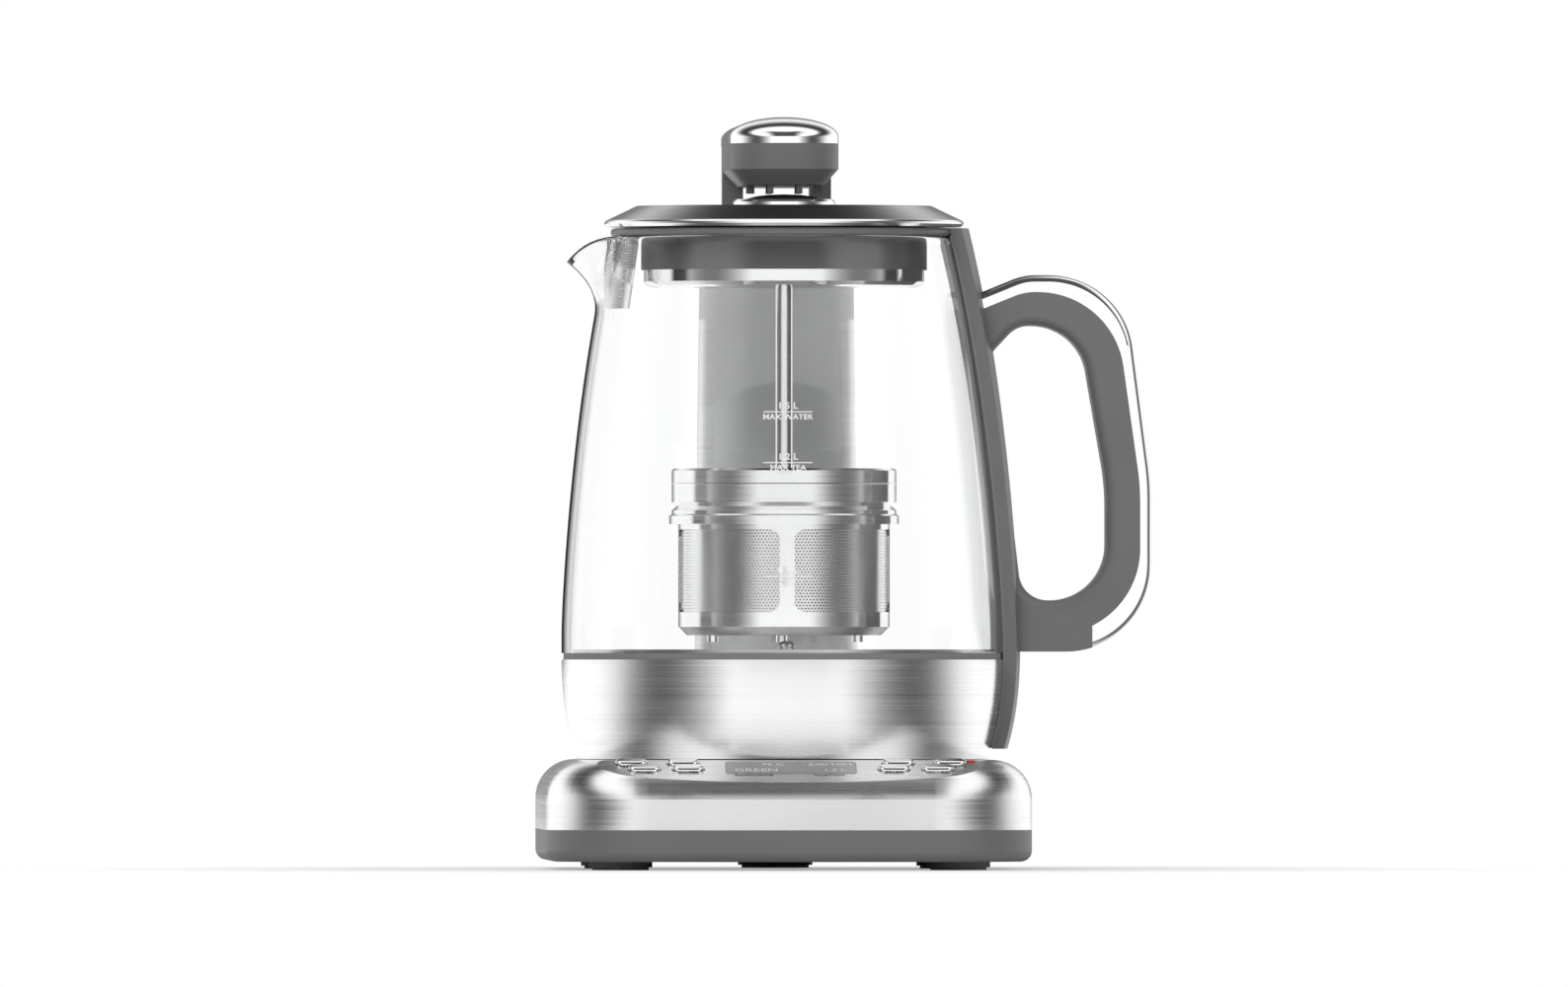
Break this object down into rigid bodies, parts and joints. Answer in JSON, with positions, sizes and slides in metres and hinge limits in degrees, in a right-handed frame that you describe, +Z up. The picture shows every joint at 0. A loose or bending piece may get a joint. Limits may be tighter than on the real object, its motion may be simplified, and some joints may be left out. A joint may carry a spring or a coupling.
{
  "type": "automatic tea maker",
  "caption": "Powered base with a control panel, a glass jug with handle, spout and lid, and a tower whose arm lifts the tea basket by a rod through the lid.",
  "frame": {"origin": "on the jug's axis, in the plane that the feet stand on", "axes": "+Z up along the jug's axis, +X towards the handle, -Y towards the user and the control panel, +Y towards the tower"},
  "size_m": [0.2191, 0.233, 0.2705],
  "materials": {
    "grey_plastic": "satin moulded grey",
    "brushed_steel": "horizontally brushed",
    "chrome": "polished",
    "clear_glass": "clear borosilicate",
    "steel_mesh": "fine perforated sheet",
    "rubber": "matt",
    "display": "tinted window",
    "black_plastic": "satin",
    "machined_steel": "machined",
    "bearing_plastic": "smooth"
  },
  "bodies": {
    "base": {"base_pan": "grey_plastic", "rubber_feet": "rubber", "base_screws": "machined_steel", "base_shell": "brushed_steel", "display_window": "display", "display_module": "black_plastic", "control_board": "black_plastic", "button_switches": "black_plastic", "status_lamp": "display", "jug_seat": "grey_plastic", "base_connector": "black_plastic", "cord_gland": "rubber", "tower_front_cover": "grey_plastic", "tower_shell": "brushed_steel", "tower_top_cover": "grey_plastic", "motor_bracket": "machined_steel", "lift_motor": "machined_steel", "screw_bearing": "machined_steel", "guide_rods": "machined_steel"},
    "screw": {"lead_screw": "machined_steel"},
    "arm": {"arm_shell": "grey_plastic", "arm_cap": "chrome", "coupling_crown": "grey_plastic", "arm_magnet": "machined_steel", "drive_carriage": "black_plastic", "drive_nut": "bearing_plastic", "guide_bushes": "bearing_plastic"},
    "jug": {"glass_body": "clear_glass", "jug_collar": "grey_plastic", "jug_base_shell": "brushed_steel", "base_seal": "rubber", "heating_plate": "machined_steel", "heater_element": "machined_steel", "jug_bottom": "black_plastic", "jug_connector": "black_plastic", "temperature_probe": "machined_steel", "handle_strap": "grey_plastic", "strap_seal": "rubber", "handle_grip": "grey_plastic", "handle_trim": "chrome", "spout_filter": "steel_mesh"},
    "lid": {"lid_cover": "brushed_steel", "lid_plug": "grey_plastic", "lid_seal": "rubber", "lid_underplate": "chrome", "knob_ring": "chrome", "lid_bush": "bearing_plastic"},
    "basket": {"lift_rod": "brushed_steel", "rod_knob": "black_plastic", "basket_body": "brushed_steel", "basket_mesh": "steel_mesh"},
    "basket_lid": {"basket_cover": "brushed_steel"},
    "tea_type_button": {"tea_type_button": "chrome"},
    "strength_button": {"strength_button": "chrome"},
    "temperature_button": {"temperature_button": "chrome"},
    "time_button": {"time_button": "chrome"},
    "water_button": {"water_button": "chrome"},
    "start_button": {"start_button": "chrome"},
    "timer_button": {"timer_button": "chrome"},
    "power_button": {"power_button": "chrome"}
  },
  "joints": [
    {"name": "lift_slide", "type": "slide", "parent": "base", "child": "arm", "axis": [0, 0, 1], "range_m": [0, 0.062]},
    {"name": "screw_spin", "type": "hinge", "parent": "base", "child": "screw", "pos_m": [0, 0.099, 0.1], "axis": [0, 0, 1], "range_deg": [0, 2791]},
    {"name": "basket_lift", "type": "slide", "parent": "jug", "child": "basket", "axis": [0, 0, 1], "range_m": [0, 0.062]},
    {"name": "jug_turn", "type": "hinge", "parent": "base", "child": "jug", "pos_m": [0, 0, 0.045], "axis": [0, 0, 1], "range_deg": [-225, 45]},
    {"name": "lid_turn", "type": "hinge", "parent": "jug", "child": "lid", "pos_m": [0, 0, 0.235], "axis": [0, 0, 1], "continuous": true},
    {"name": "cover_twist", "type": "hinge", "parent": "basket", "child": "basket_lid", "pos_m": [0, 0, 0.14], "axis": [0, 0, 1], "range_deg": [0, 30]},
    {"name": "tea_type_press", "type": "slide", "parent": "base", "child": "tea_type_button", "axis": [0, 0.3123, -0.95], "range_m": [0, 0.0008], "stiffness_N_per_m": 400},
    {"name": "strength_press", "type": "slide", "parent": "base", "child": "strength_button", "axis": [0, 0.3123, -0.95], "range_m": [0, 0.0008], "stiffness_N_per_m": 400},
    {"name": "temperature_press", "type": "slide", "parent": "base", "child": "temperature_button", "axis": [0, 0.3123, -0.95], "range_m": [0, 0.0008], "stiffness_N_per_m": 400},
    {"name": "time_press", "type": "slide", "parent": "base", "child": "time_button", "axis": [0, 0.3123, -0.95], "range_m": [0, 0.0008], "stiffness_N_per_m": 400},
    {"name": "water_press", "type": "slide", "parent": "base", "child": "water_button", "axis": [0, 0.3123, -0.95], "range_m": [0, 0.0008], "stiffness_N_per_m": 400},
    {"name": "start_press", "type": "slide", "parent": "base", "child": "start_button", "axis": [0, 0.3123, -0.95], "range_m": [0, 0.0008], "stiffness_N_per_m": 400},
    {"name": "timer_press", "type": "slide", "parent": "base", "child": "timer_button", "axis": [0, 0.3123, -0.95], "range_m": [0, 0.0008], "stiffness_N_per_m": 400},
    {"name": "power_press", "type": "slide", "parent": "base", "child": "power_button", "axis": [0, 0.3123, -0.95], "range_m": [0, 0.0008], "stiffness_N_per_m": 400}
  ],
  "couplings": [
    {"joint": "screw_spin", "follows": "lift_slide", "rad_per_m": 785.4},
    {"joint": "basket_lift", "follows": "lift_slide", "ratio": 1}
  ]
}
